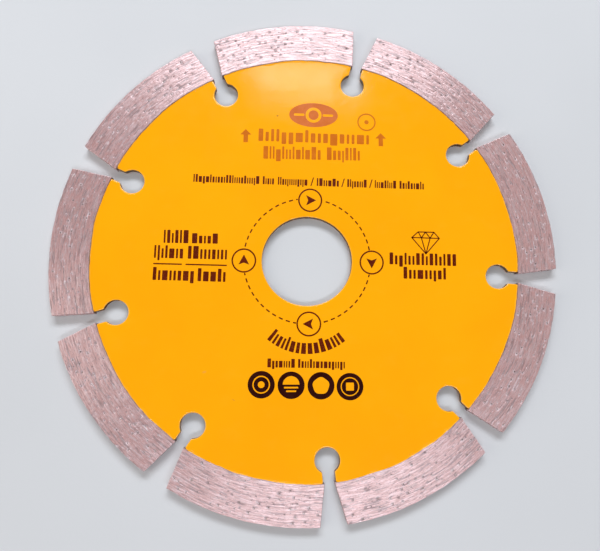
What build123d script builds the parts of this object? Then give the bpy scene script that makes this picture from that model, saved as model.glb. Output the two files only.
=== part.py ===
from build123d import *
import math
import os
import random

# Segmented diamond cutting blade for an angle grinder or marble cutter, 125 mm.
# A sprung-steel core carries nine sintered metal-bond segments. Each segment is
# pressed and sintered astride the notched rim of the core, and it holds the
# diamond crystals that do the cutting. Both faces of the core carry a film of
# enamel up to the feet of the segments.
#
# Frame: origin at the centre of the bore on the mid-plane of the core, +Z along
# the spin axis out of the printed face, +Y up in the print. Millimetres.

# ---- driving dimensions ----
blade_r = 62.5          # over the segments, nominal 125 mm
bore_r = 22.23 / 2      # arbor hole, nominal 22.23 mm (7/8 in)
core_t = 1.6            # steel core
seg_t = 2.2             # segments, 0.3 mm proud of the core each side
seg_foot_r = 52.9       # inner edge of the segments
rim_r = 56.0            # rim of the steel core, inside the segments
n_seg = 9
pitch = 360 / n_seg
slot_phase = 35.64      # angle of the first slot's centre line, degrees

key_pitch_r = 47.75     # centres of the round gullet holes
key_r = 3.0
slot_half = 1.5         # half width of the slot in the core
slot_flare_r = 52.4     # where the slot in the core starts to widen
key_corner_r = 0.45     # rounding where the slot runs into the round hole

gap_foot_half = 1.17    # half gap between segments at their feet
gap_tip_half = 3.20     # half gap between segments at the blade's edge
end_cover = 0.5         # matrix over the end of each rim tooth

notch_depth = 2.0       # dovetail notches in the rim that key the segments
notch_mouth = 1.7
notch_floor = 2.6
notch_angles = (-12.9, -4.3, 4.3, 12.9)

bore_chamfer = 0.15

paint_t = 0.06          # enamel film on each face
paint_setback = 0.10    # film stops short of the bore
paint_foot_gap = 0.05   # film stops short of the segments

grit_r = 0.25           # diamond crystals, circumscribed radius (about 35/40 mesh)
grit_small_r = 0.15     # finer crystals in the thin skin over the rim teeth
grit_proud = 0.08       # how far a crystal's tip may stand out of the matrix
grit_face_count = 15    # stated crystals on each side face of a segment
grit_foot_count = 5     # of which extra fine ones over the rim teeth
grit_rim_count = 8      # on the cutting edge
grit_spacing = 1.5


def gap_half(r):
    """Half the gap between neighbouring segments, at distance r along a slot's centre line."""
    return gap_foot_half + (r - seg_foot_r) * (gap_tip_half - gap_foot_half) / (
        blade_r - seg_foot_r
    )


def polar(r, deg):
    return (r * math.cos(math.radians(deg)), r * math.sin(math.radians(deg)))


def in_slot(deg, along, aside):
    """A point of a slot's own frame, along its centre line and to its anticlockwise side."""
    c, s = math.cos(math.radians(deg)), math.sin(math.radians(deg))
    return (along * c - aside * s, along * s + aside * c)


def polygon(points):
    return make_face(Polyline(*points, close=True))


# ---- steel core ----
slot_angles = [slot_phase + k * pitch for k in range(n_seg)]
seg_angles = [a + pitch / 2 for a in slot_angles]

core_face = Circle(rim_r) - Circle(bore_r)
for a in slot_angles:
    out = rim_r + 1.0
    profile = [
        (key_pitch_r, -slot_half),
        (slot_flare_r, -slot_half),
        (seg_foot_r, -(gap_half(seg_foot_r) + end_cover)),
        (out, -(gap_half(out) + end_cover)),
        (out, gap_half(out) + end_cover),
        (seg_foot_r, gap_half(seg_foot_r) + end_cover),
        (slot_flare_r, slot_half),
        (key_pitch_r, slot_half),
    ]
    core_face -= polygon([in_slot(a, u, v) for u, v in profile])
    core_face -= Pos(*polar(key_pitch_r, a)) * Circle(key_r)
for a in seg_angles:
    for d in notch_angles:
        floor_r, mouth_r = rim_r - notch_depth, rim_r + 0.6
        w_out = notch_mouth / 2 - 0.6 * (notch_floor - notch_mouth) / 2 / notch_depth
        core_face -= polygon(
            [
                in_slot(a + d, floor_r, -notch_floor / 2),
                in_slot(a + d, mouth_r, -w_out),
                in_slot(a + d, mouth_r, w_out),
                in_slot(a + d, floor_r, notch_floor / 2),
            ]
        )

core = extrude(core_face, core_t / 2, both=True)


def round_key_corners(solid):
    """Rounds the upright edges where each slot meets its round hole."""
    reach = math.sqrt(key_r**2 - slot_half**2)
    targets = [
        in_slot(a, key_pitch_r + reach, side * slot_half)
        for a in slot_angles
        for side in (-1, 1)
    ]
    chosen = [
        e
        for e in solid.edges().filter_by(Axis.Z)
        if any(math.dist((e.center().X, e.center().Y), t) < 0.05 for t in targets)
    ]
    assert len(chosen) == 2 * n_seg, len(chosen)
    return fillet(chosen, key_corner_r)


core = round_key_corners(core)
core_plain = core
bore_edges = [
    e
    for e in core.edges().filter_by(GeomType.CIRCLE)
    if abs(e.radius - bore_r) < 1e-3
]
core = chamfer(bore_edges, bore_chamfer)

# ---- enamel on both faces ----
paint_ring = Pos(0, 0, core_t / 2) * extrude(
    Circle(seg_foot_r - paint_foot_gap) - Circle(bore_r + bore_chamfer + paint_setback),
    paint_t,
)
tall_core = round_key_corners(extrude(core_face, 2, both=True))
front_paint = paint_ring & tall_core
back_paint = mirror(front_paint, about=Plane.XY)


# ---- diamond crystals ----
def turn(rng):
    """A random rotation as three orthogonal unit vectors."""
    u1, u2, u3 = rng.random(), rng.random(), rng.random()
    w, x, y, z = (
        math.sqrt(1 - u1) * math.sin(2 * math.pi * u2),
        math.sqrt(1 - u1) * math.cos(2 * math.pi * u2),
        math.sqrt(u1) * math.sin(2 * math.pi * u3),
        math.sqrt(u1) * math.cos(2 * math.pi * u3),
    )
    return (
        (1 - 2 * (y * y + z * z), 2 * (x * y + z * w), 2 * (x * z - y * w)),
        (2 * (x * y - z * w), 1 - 2 * (x * x + z * z), 2 * (y * z + x * w)),
        (2 * (x * z + y * w), 2 * (y * z - x * w), 1 - 2 * (x * x + y * y)),
    )


def crystal(centre, radius, axes):
    """A cuboctahedron, the usual habit of saw-grade synthetic diamond."""
    s = radius / math.sqrt(2)

    def at(p):
        return tuple(
            centre[i] + s * sum(p[j] * axes[j][i] for j in range(3)) for i in range(3)
        )

    faces = []
    for k in range(3):
        for sign in (1, -1):
            i, j = (k + 1) % 3, (k + 2) % 3
            square = []
            for di, dj in ((1, 0), (0, 1), (-1, 0), (0, -1)):
                p = [0, 0, 0]
                p[k], p[i], p[j] = sign, di, dj
                square.append(at(p))
            faces.append(Face(Wire.make_polygon([Vector(*q) for q in square])))
    for sx in (1, -1):
        for sy in (1, -1):
            for sz in (1, -1):
                corner = [(sx, sy, 0), (0, sy, sz), (sx, 0, sz)]
                faces.append(
                    Face(Wire.make_polygon([Vector(*at(q)) for q in corner]))
                )
    solid = Solid(Shell(faces))
    return solid if solid.volume > 0 else -solid


def spread(rng, count, draw, spacing):
    """Draws points until count of them lie at least spacing apart."""
    kept = []
    for _ in range(20000):
        if len(kept) == count:
            break
        p = draw()
        if all(math.dist(p, q) >= spacing for q in kept):
            kept.append(p)
    return kept


def seg_limit(r):
    """Half the angle of a segment at radius r, in degrees, less a margin for the grit."""
    return pitch / 2 - math.degrees(math.asin((gap_half(r) + 0.55) / r))


def crystals_of(index):
    rng = random.Random(1000 + index)
    mid = seg_angles[index]
    made = []
    for side in (1, -1):

        def on_face():
            r = rng.uniform(rim_r + 0.5, blade_r - 0.55)
            return polar(r, mid + rng.uniform(-1, 1) * seg_limit(r))

        def on_foot():
            r = rng.uniform(seg_foot_r + 0.5, rim_r - 0.3)
            return polar(r, mid + rng.uniform(-1, 1) * seg_limit(r))

        z = side * (seg_t / 2 + grit_proud - grit_r)
        for x, y in spread(rng, grit_face_count, on_face, grit_spacing):
            made.append(crystal((x, y, z), grit_r, turn(rng)))
        z = side * (seg_t / 2 + grit_proud / 2 - grit_small_r)
        for x, y in spread(rng, grit_foot_count, on_foot, grit_spacing):
            made.append(crystal((x, y, z), grit_small_r, turn(rng)))

    def on_rim():
        d = rng.uniform(-1, 1) * seg_limit(blade_r)
        z = rng.uniform(-0.5, 0.5) * (seg_t - 4 * grit_r)
        return (*polar(blade_r + grit_proud - grit_r, mid + d), z)

    for p in spread(rng, grit_rim_count, on_rim, 2 * grit_spacing):
        made.append(crystal(p, grit_r, turn(rng)))
    return made


# ---- segments ----
def segment(index, grit):
    a, b = slot_angles[index], slot_angles[index] + pitch
    near, far = seg_foot_r - 3, blade_r + 3.5
    wedge = polygon(
        [
            in_slot(a, near, gap_half(near)),
            in_slot(a, far, gap_half(far)),
            in_slot(b, far, -gap_half(far)),
            in_slot(b, near, -gap_half(near)),
        ]
    )
    band = (Circle(blade_r) - Circle(seg_foot_r)) & wedge
    block = extrude(band, seg_t / 2, both=True)
    block -= core_plain
    for c in grit:
        block -= c
    return block


def one(shape):
    """The single solid of a shape."""
    solids = shape.solids()
    assert len(solids) == 1, len(solids)
    return solids[0]


os.makedirs("parts", exist_ok=True)
export_step(one(core), "parts/steel_core.step")
export_step(one(front_paint), "parts/front_enamel.step")
export_step(one(back_paint), "parts/back_enamel.step")
for k in range(n_seg):
    grit = crystals_of(k)
    export_step(one(segment(k, grit)), f"parts/segment_{k + 1}.step")
    export_step(Compound(children=grit), f"parts/diamond_grit_{k + 1}.step")
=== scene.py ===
import math
import random

import bpy
import numpy as np
from mathutils import Matrix, Vector
from mathutils.geometry import delaunay_2d_cdt


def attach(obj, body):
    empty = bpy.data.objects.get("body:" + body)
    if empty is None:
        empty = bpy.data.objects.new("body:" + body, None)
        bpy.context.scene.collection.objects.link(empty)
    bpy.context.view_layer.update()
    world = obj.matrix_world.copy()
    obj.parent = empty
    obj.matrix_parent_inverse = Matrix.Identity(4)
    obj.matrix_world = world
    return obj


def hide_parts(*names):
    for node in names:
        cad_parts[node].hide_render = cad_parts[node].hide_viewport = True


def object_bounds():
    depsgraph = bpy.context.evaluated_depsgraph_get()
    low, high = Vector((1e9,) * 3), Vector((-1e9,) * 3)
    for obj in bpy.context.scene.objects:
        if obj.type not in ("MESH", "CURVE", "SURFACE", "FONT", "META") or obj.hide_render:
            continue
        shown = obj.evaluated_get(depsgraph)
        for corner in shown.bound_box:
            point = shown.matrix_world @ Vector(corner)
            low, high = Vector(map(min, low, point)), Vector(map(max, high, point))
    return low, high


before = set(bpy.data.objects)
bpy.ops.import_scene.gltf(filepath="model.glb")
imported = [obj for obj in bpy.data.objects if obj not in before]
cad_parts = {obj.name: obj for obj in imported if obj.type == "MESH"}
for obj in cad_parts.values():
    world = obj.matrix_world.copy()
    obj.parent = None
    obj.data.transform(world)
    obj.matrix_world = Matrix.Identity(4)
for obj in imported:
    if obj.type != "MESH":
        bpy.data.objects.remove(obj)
cad_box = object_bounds()
MM = 0.001

# ---------------------------------------------------------------- dimensions, mm
BLADE_R = 62.5
BORE_R = 11.115
CORE_T = 1.6
SEG_T = 2.2
FOOT_R = 52.9
RIM_R = 56.0
N = 9
PITCH = 360 / N
PHASE = 35.64
KEY_PITCH_R = 47.75
KEY_R = 3.0
SLOT_HALF = 1.5
FLARE_R = 52.4
CORNER_R = 0.45
GAP_FOOT = 1.17
GAP_TIP = 3.20
PAINT_T = 0.06
PAINT_TOP = CORE_T / 2 + PAINT_T
GAP_SLOPE = (GAP_TIP - GAP_FOOT) / (BLADE_R - FOOT_R)

SLOTS = [PHASE + PITCH * k for k in range(N)]


def gap_half(u):
    return GAP_FOOT + (u - FOOT_R) * GAP_SLOPE


def rotate(points, deg):
    c, s = math.cos(math.radians(deg)), math.sin(math.radians(deg))
    p = np.asarray(points, float)
    return np.stack([p[:, 0] * c - p[:, 1] * s, p[:, 0] * s + p[:, 1] * c], 1)


# ---------------------------------------------------------------- mesh helpers
def new_mesh(name, verts, faces, smooth=True, scale=MM):
    me = bpy.data.meshes.new(name)
    v = np.asarray(verts, np.float64) * scale
    me.vertices.add(len(v))
    me.vertices.foreach_set("co", v.astype(np.float32).ravel())
    faces = [np.asarray(f, np.int32) for f in faces if len(f)]
    total = sum(f.size for f in faces)
    count = sum(len(f) for f in faces)
    me.loops.add(total)
    me.polygons.add(count)
    me.loops.foreach_set("vertex_index", np.concatenate([f.ravel() for f in faces]))
    sizes = np.concatenate([np.full(len(f), f.shape[1], np.int32) for f in faces])
    starts = np.concatenate([[0], np.cumsum(sizes)[:-1]]).astype(np.int32)
    me.polygons.foreach_set("loop_start", starts)
    me.update(calc_edges=True)
    me.validate(verbose=False)
    me.polygons.foreach_set("use_smooth", np.full(len(me.polygons), smooth))
    me.update()
    return me


def new_object(name, me, material):
    ob = bpy.data.objects.new(name, me)
    bpy.context.scene.collection.objects.link(ob)
    me.materials.clear()
    me.materials.append(material)
    return ob


def float_attribute(me, name, values):
    a = me.attributes.new(name, "FLOAT", "POINT")
    a.data.foreach_set("value", np.asarray(values, np.float32))


# ---------------------------------------------------------------- node helpers
class Nodes:
    """Small wrapper that builds a procedural material."""

    def __init__(self, name):
        self.mat = bpy.data.materials.new(name)
        self.mat.use_nodes = True
        self.tree = self.mat.node_tree
        self.tree.nodes.clear()
        self.out = self.tree.nodes.new("ShaderNodeOutputMaterial")
        self.bsdf = self.tree.nodes.new("ShaderNodeBsdfPrincipled")
        self.link(self.bsdf.outputs[0], self.out.inputs["Surface"])
        self.coord = self.tree.nodes.new("ShaderNodeTexCoord").outputs["Object"]

    def link(self, a, b):
        self.tree.links.new(a, b)

    def put(self, socket, value):
        if isinstance(value, bpy.types.NodeSocket):
            self.link(value, socket)
        else:
            socket.default_value = value

    def set(self, **values):
        for key, value in values.items():
            self.put(self.bsdf.inputs[key.replace("_", " ")], value)

    def mapping(self, scale=(1, 1, 1), rotation=(0, 0, 0), location=(0, 0, 0), source=None):
        n = self.tree.nodes.new("ShaderNodeMapping")
        self.link(source or self.coord, n.inputs["Vector"])
        n.inputs["Scale"].default_value = scale
        n.inputs["Rotation"].default_value = rotation
        n.inputs["Location"].default_value = location
        return n.outputs[0]

    def noise(self, scale, detail=2.0, rough=0.5, vector=None, distortion=0.0):
        n = self.tree.nodes.new("ShaderNodeTexNoise")
        self.link(vector or self.coord, n.inputs["Vector"])
        n.inputs["Scale"].default_value = scale
        n.inputs["Detail"].default_value = detail
        n.inputs["Roughness"].default_value = rough
        n.inputs["Distortion"].default_value = distortion
        return n.outputs["Fac"]

    def voronoi(self, scale, feature="F1", vector=None, output="Distance"):
        n = self.tree.nodes.new("ShaderNodeTexVoronoi")
        n.feature = feature
        self.link(vector or self.coord, n.inputs["Vector"])
        n.inputs["Scale"].default_value = scale
        return n.outputs[output]

    def ramp(self, fac, *stops, smooth=True):
        """stops are (position, colour or value)."""
        n = self.tree.nodes.new("ShaderNodeValToRGB")
        n.color_ramp.interpolation = "EASE" if smooth else "LINEAR"
        items = n.color_ramp.elements
        while len(items) < len(stops):
            items.new(0.5)
        for item, (pos, value) in zip(items, stops):
            item.position = pos
            item.color = (
                (*value, 1.0) if isinstance(value, (tuple, list)) else (value, value, value, 1.0)
            )
        self.link(fac, n.inputs["Fac"])
        return n.outputs["Color"]

    def mix(self, fac, a, b, mode="MIX"):
        n = self.tree.nodes.new("ShaderNodeMix")
        n.data_type = "RGBA"
        n.blend_type = mode
        self.put(n.inputs[0], fac)
        for socket, value in ((n.inputs[6], a), (n.inputs[7], b)):
            if isinstance(value, bpy.types.NodeSocket):
                self.link(value, socket)
            else:
                socket.default_value = (*value, 1.0)
        return n.outputs[2]

    def math(self, op, a, b=0.0, c=0.0, clamp=False):
        n = self.tree.nodes.new("ShaderNodeMath")
        n.operation = op
        n.use_clamp = clamp
        self.put(n.inputs[0], a)
        self.put(n.inputs[1], b)
        self.put(n.inputs[2], c)
        return n.outputs[0]

    def attribute(self, name):
        n = self.tree.nodes.new("ShaderNodeAttribute")
        n.attribute_name = name
        return n.outputs["Fac"]

    def spot(self, x, y, rx, ry, deg=0.0, soft=0.5):
        """1 inside an ellipse on the face, in mm, falling to 0 at its edge."""
        m = self.mapping(
            source=self.mapping(location=(-x * MM, -y * MM, 0)),
            rotation=(0, 0, -math.radians(deg)),
        )
        sep = self.tree.nodes.new("ShaderNodeSeparateXYZ")
        self.link(m, sep.inputs[0])
        a = self.math("DIVIDE", sep.outputs[0], rx * MM)
        b = self.math("DIVIDE", sep.outputs[1], ry * MM)
        d = self.math("SQRT", self.math("ADD", self.math("MULTIPLY", a, a), self.math("MULTIPLY", b, b)))
        return self.math("DIVIDE", self.math("SUBTRACT", 1.0, d), soft, clamp=True)

    def bump(self, height, distance, strength=1.0, normal=None):
        n = self.tree.nodes.new("ShaderNodeBump")
        n.inputs["Strength"].default_value = strength
        n.inputs["Distance"].default_value = distance
        self.link(height, n.inputs["Height"])
        if normal is not None:
            self.link(normal, n.inputs["Normal"])
        return n.outputs[0]


SINTER_LOW, SINTER_HIGH = (0.492, 0.236, 0.214), (0.632, 0.330, 0.302)


def enamel_material(name, marks):
    m = Nodes(name)
    cloud = m.noise(38, 3, 0.55)
    base = m.ramp(cloud, (0.30, (0.955, 0.361, 0.0)), (0.70, (0.99, 0.386, 0.0004)))
    # faint handling haze and settled dust
    haze = m.ramp(m.noise(150, 5, 0.65, m.mapping(scale=(1.0, 1.7, 1.0), rotation=(0, 0, 0.5))), (0.52, 0.0), (0.80, 0.12))
    base = m.mix(haze, base, (0.95, 0.45, 0.03))
    dust = m.ramp(m.voronoi(1150), (0.0, 0.55), (0.075, 0.0))
    base = m.mix(dust, base, (0.60, 0.30, 0.05))
    for x, y, rx, ry, deg, value, colour in marks:
        base = m.mix(m.math("MULTIPLY", m.spot(x, y, rx, ry, deg), value), base, colour)
    # the film thins at stamped edges: its rolled lip is painted pale as a painted highlight, then the brown of the
    # cut
    edge = m.attribute("edge")
    lip = m.ramp(edge, (0.0, 0.0), (0.14, 0.55), (0.45, 0.25), (0.85, 0.0))
    base = m.mix(lip, base, (1.0, 0.53, 0.06))
    bare = m.math(
        "MULTIPLY",
        m.ramp(edge, (0.0, 1.0), (0.13, 0.0)),
        m.ramp(m.noise(900, 3, 0.6), (0.40, 0.15), (0.58, 1.0)),
    )
    base = m.mix(bare, base, (0.20, 0.095, 0.03))
    # a faint brown line of flux and shadowed film along the segments' feet
    sep = m.tree.nodes.new("ShaderNodeSeparateXYZ")
    m.link(m.coord, sep.inputs[0])
    radius = m.math("SQRT", m.math("ADD", m.math("MULTIPLY", sep.outputs[0], sep.outputs[0]), m.math("MULTIPLY", sep.outputs[1], sep.outputs[1])))
    wavy = m.math("ADD", radius, m.math("MULTIPLY", m.math("SUBTRACT", m.noise(420, 3, 0.6), 0.5), 0.0005))
    foot = m.math("DIVIDE", m.math("SUBTRACT", wavy, 52.60 * MM), 0.30 * MM, clamp=True)
    base = m.mix(m.math("MULTIPLY", foot, 0.12), base, (0.45, 0.17, 0.02))
    rough = m.ramp(m.noise(260, 4, 0.6), (0.3, 0.11), (0.75, 0.16))
    peel = m.noise(620, 2, 0.5)
    fine = m.noise(4200, 2, 0.5)
    normal = m.bump(peel, 0.000035, 0.35)
    normal = m.bump(fine, 0.000006, 0.35, normal)
    scratch = m.ramp(
        m.noise(60, 2, 0.4, m.mapping(scale=(1.0, 26.0, 1.0), rotation=(0, 0, 0.9))),
        (0.68, 0.0), (0.74, 1.0),
    )
    normal = m.bump(scratch, 0.000008, 0.25, normal)
    m.set(Base_Color=base, Roughness=rough, Metallic=0.0, IOR=1.38, Normal=normal)
    return m.mat


def steel_material(name):
    m = Nodes(name)
    streak = m.noise(1500, 4, 0.6, m.mapping(scale=(1.0, 1.0, 0.08)))
    patch = m.noise(240, 4, 0.6)
    base = m.mix(streak, (0.085, 0.062, 0.040), (0.24, 0.19, 0.135))
    base = m.mix(m.ramp(patch, (0.45, 0.0), (0.68, 0.75)), base, (0.16, 0.075, 0.028))
    rough = m.ramp(patch, (0.3, 0.34), (0.7, 0.62))
    normal = m.bump(streak, 0.00005, 0.5)
    m.set(Base_Color=base, Roughness=rough, Metallic=0.85, Normal=normal)
    return m.mat


def sintered_material(name):
    m = Nodes(name)
    uv = m.tree.nodes.new("ShaderNodeUVMap")
    uv.uv_map = "along"
    uv = uv.outputs[0]
    long_streak = m.noise(1.0, 4, 0.6, m.mapping(scale=(20.0, 250.0, 1.0), source=uv))
    short_streak = m.noise(1.0, 3, 0.6, m.mapping(scale=(60.0, 620.0, 1.0), source=uv))
    dash = m.noise(1.0, 2, 0.5, m.mapping(scale=(150.0, 500.0, 1.0), location=(3.1, 7.7, 0), source=uv))
    blotch = m.noise(420, 4, 0.6)
    height = m.attribute("height")
    furrow = m.attribute("furrow")
    base = m.mix(m.ramp(long_streak, (0.34, 0.0), (0.66, 1.0)), SINTER_LOW, SINTER_HIGH)
    base = m.mix(m.ramp(short_streak, (0.36, 0.0), (0.70, 0.40)), base, (0.76, 0.50, 0.49))
    base = m.mix(m.ramp(blotch, (0.52, 0.0), (0.76, 0.30)), base, (0.36, 0.22, 0.18))
    # darker in the furrows, partly grime and partly painted shade; the crests between them painted lighter as a
    # painted highlight
    base = m.mix(m.ramp(furrow, (0.22, 0.66), (0.42, 0.0)), base, (0.21, 0.125, 0.125))
    base = m.mix(m.ramp(furrow, (0.58, 0.0), (0.80, 0.40)), base, (0.80, 0.60, 0.60))
    # pits darkened as painted shade, high points lightened as a painted highlight
    base = m.mix(m.ramp(height, (0.0, 0.85), (0.29, 0.62), (0.43, 0.0)), base, (0.205, 0.122, 0.128))
    base = m.mix(m.ramp(height, (0.60, 0.0), (0.86, 0.45)), base, (0.82, 0.68, 0.68))
    # burnished streaks shine like metal, the rest is duller
    drawn = m.math("ADD", m.math("MULTIPLY", long_streak, 0.55), m.math("MULTIPLY", short_streak, 0.45))
    base = m.mix(m.ramp(drawn, (0.47, 0.0), (0.59, 0.60)), base, (0.86, 0.71, 0.72))
    base = m.mix(m.ramp(drawn, (0.39, 0.48), (0.49, 0.0)), base, (0.27, 0.145, 0.138))
    shine = m.math("MULTIPLY", m.ramp(drawn, (0.43, 0.05), (0.58, 0.70)), m.ramp(height, (0.26, 0.0), (0.43, 1.0)))
    # fine torn flecks painted dark, and pale flecks painted in as glints
    base = m.mix(m.ramp(dash, (0.62, 0.0), (0.69, 0.66)), base, (0.21, 0.125, 0.125))
    base = m.mix(m.ramp(dash, (0.28, 0.65), (0.37, 0.0)), base, (0.90, 0.76, 0.77))
    pores = m.ramp(m.voronoi(2600, vector=m.mapping(scale=(1, 1, 1))), (0.0, 0.8), (0.16, 0.0))
    keep = m.ramp(m.noise(900, 2, 0.5), (0.50, 0.0), (0.60, 1.0))
    base = m.mix(m.math("MULTIPLY", pores, keep), base, (0.20, 0.13, 0.12))
    stain = m.math("MULTIPLY", m.attribute("joint"), m.ramp(m.noise(700, 3, 0.6), (0.35, 0.45), (0.60, 1.0)))
    base = m.mix(stain, base, (0.105, 0.050, 0.024))
    rough = m.ramp(short_streak, (0.3, 0.38), (0.7, 0.52))
    # torn places are dull
    rough = m.mix(m.ramp(dash, (0.62, 0.0), (0.69, 0.7)), rough, (0.90, 0.90, 0.90))
    rough = m.mix(m.ramp(height, (0.27, 1.0), (0.44, 0.0)), rough, (0.95, 0.95, 0.95))
    normal = m.bump(short_streak, 0.00003, 0.6)
    normal = m.bump(dash, 0.00002, 0.5, normal)
    normal = m.bump(m.noise(1.0, 2, 0.5, m.mapping(scale=(45.0, 1100.0, 1.0), source=uv)), 0.000016, 0.6, normal)
    tangent = m.tree.nodes.new("ShaderNodeTangent")
    tangent.direction_type = "UV_MAP"
    tangent.uv_map = "along"
    m.set(
        Base_Color=base, Roughness=rough, Metallic=shine, IOR=2.7, Normal=normal,
        Anisotropic=0.85, Anisotropic_Rotation=0.25, Tangent=tangent.outputs[0],
    )
    return m.mat


def diamond_material(name):
    m = Nodes(name)
    tone = m.noise(700, 1, 0.5)
    base = m.ramp(tone, (0.35, (0.12, 0.080, 0.065)), (0.52, (0.24, 0.175, 0.140)), (0.66, (0.42, 0.33, 0.28)))
    m.set(Base_Color=base, Roughness=m.ramp(m.noise(5000, 2), (0.3, 0.24), (0.7, 0.46)), IOR=1.9, Metallic=0.0)
    return m.mat


def ink_material(name, dark, light, thin):
    m = Nodes(name)
    base = m.ramp(m.noise(300, 4, 0.65), (0.35, dark), (0.72, light))
    worn = m.ramp(m.noise(2100, 3, 0.6), (0.57, 0.0), (0.70, thin))
    base = m.mix(worn, base, (0.80, 0.30, 0.01))
    m.set(
        Base_Color=base, IOR=1.2, Roughness=m.ramp(m.noise(700, 3), (0.3, 0.30), (0.7, 0.44)),
        Normal=m.bump(m.noise(1900, 2), 0.00001, 0.5),
    )
    return m.mat


def floor_material(name):
    m = Nodes(name)
    base = m.ramp(m.noise(9, 3, 0.5), (0.3, (0.57, 0.575, 0.57)), (0.7, (0.60, 0.605, 0.60)))
    m.set(Base_Color=base, Roughness=0.85, Normal=m.bump(m.noise(1400, 3), 0.00004, 0.3))
    return m.mat


# ---------------------------------------------------------------- core outline
def half_slot(rim):
    """One side of a slot in its own frame (along, aside), rim inwards, with outward normals."""
    pts, nrm = [], []

    def add(u, v, nu, nv, mitre=1.0):
        k = math.hypot(nu, nv) / mitre
        pts.append((u, v))
        nrm.append((nu / k, nv / k))

    flare = (gap_half(FOOT_R) + 0.5 - SLOT_HALF) / (FOOT_R - FLARE_R)

    def wall(u):
        if u > FOOT_R:
            return gap_half(u) + 0.5
        return SLOT_HALF + max(0.0, u - FLARE_R) * flare

    lo, hi = rim - 6, rim
    for _ in range(60):
        mid = (lo + hi) / 2
        if math.hypot(mid, wall(mid)) > rim:
            hi = mid
        else:
            lo = mid
    top = (lo + hi) / 2
    add(top, wall(top), 1.0, -1.0, math.sqrt(2))
    if rim > FOOT_R + 1:
        for u in np.linspace(top - 0.5, FOOT_R, 5):
            add(u, wall(u), 0.2, -1.0)
    uc = KEY_PITCH_R + math.sqrt((KEY_R + CORNER_R) ** 2 - (SLOT_HALF + CORNER_R) ** 2)
    vc = SLOT_HALF + CORNER_R
    for u in np.linspace(FLARE_R, uc, 6)[:-1]:
        add(u, SLOT_HALF, 0.0, -1.0)
    end = math.atan2(-vc, KEY_PITCH_R - uc)
    for t in np.linspace(-math.pi / 2, end, 11):
        add(uc + CORNER_R * math.cos(t), vc + CORNER_R * math.sin(t), math.cos(t), math.sin(t))
    start = math.atan2(vc, uc - KEY_PITCH_R)
    for t in np.linspace(start, math.pi, 48)[1:]:
        add(KEY_PITCH_R + KEY_R * math.cos(t), KEY_R * math.sin(t), -math.cos(t), -math.sin(t))
    return np.array(pts), np.array(nrm)


def outline(rim, notches=False):
    """Closed outline of the core, anticlockwise, as points and outward normals."""
    pts, nrm = [], []
    side, side_n = half_slot(rim)
    for k in range(N):
        a = SLOTS[k]
        # from the bottom of the round hole out along the wall, over the land, and into the next hole
        pts.append(rotate(side[::-1], a))
        nrm.append(rotate(side_n[::-1], a))
        start = a + math.degrees(math.atan2(side[0][1], side[0][0]))
        stop = a + PITCH - math.degrees(math.atan2(side[0][1], side[0][0]))
        if notches:
            for d in (-12.9, -4.3, 4.3, 12.9):
                mid = a + PITCH / 2 + d
                half_mouth = math.degrees(0.85 / rim)
                arc = np.linspace(start + (math.degrees(0.6 / rim) if d < -12 else 0), mid - half_mouth, 6)[0 if d < -12 else 1:]
                t = np.radians(arc)
                pts.append(np.stack([rim * np.cos(t), rim * np.sin(t)], 1))
                nrm.append(np.stack([np.cos(t), np.sin(t)], 1))
                floor = rotate([(rim - 2.0, -1.3), (rim - 2.0, 1.3)], mid)
                pts.append(floor)
                nrm.append(rotate([(1, 0.3), (1, -0.3)], mid) / math.hypot(1, 0.3))
                start = mid + half_mouth
                t = np.radians([start])
                pts.append(np.stack([rim * np.cos(t), rim * np.sin(t)], 1))
                nrm.append(np.stack([np.cos(t), np.sin(t)], 1))
        clear = math.degrees(0.6 / rim)
        t = np.radians(np.linspace(start + (0 if notches else clear), stop - clear, 4 if notches else 60)[1 if notches else 0:])
        pts.append(np.stack([rim * np.cos(t), rim * np.sin(t)], 1))
        nrm.append(np.stack([np.cos(t), np.sin(t)], 1))
        pts.append(rotate(side[:-1] * (1, -1), a + PITCH))
        nrm.append(rotate(side_n[:-1] * (1, -1), a + PITCH))
    return np.concatenate(pts), np.concatenate(nrm)


def circle_loop(r, count, inward=True):
    t = np.linspace(0, 2 * math.pi, count, endpoint=False) + math.radians(PHASE)
    p = np.stack([np.cos(t), np.sin(t)], 1)
    return p * r, (-p if inward else p)


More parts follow.
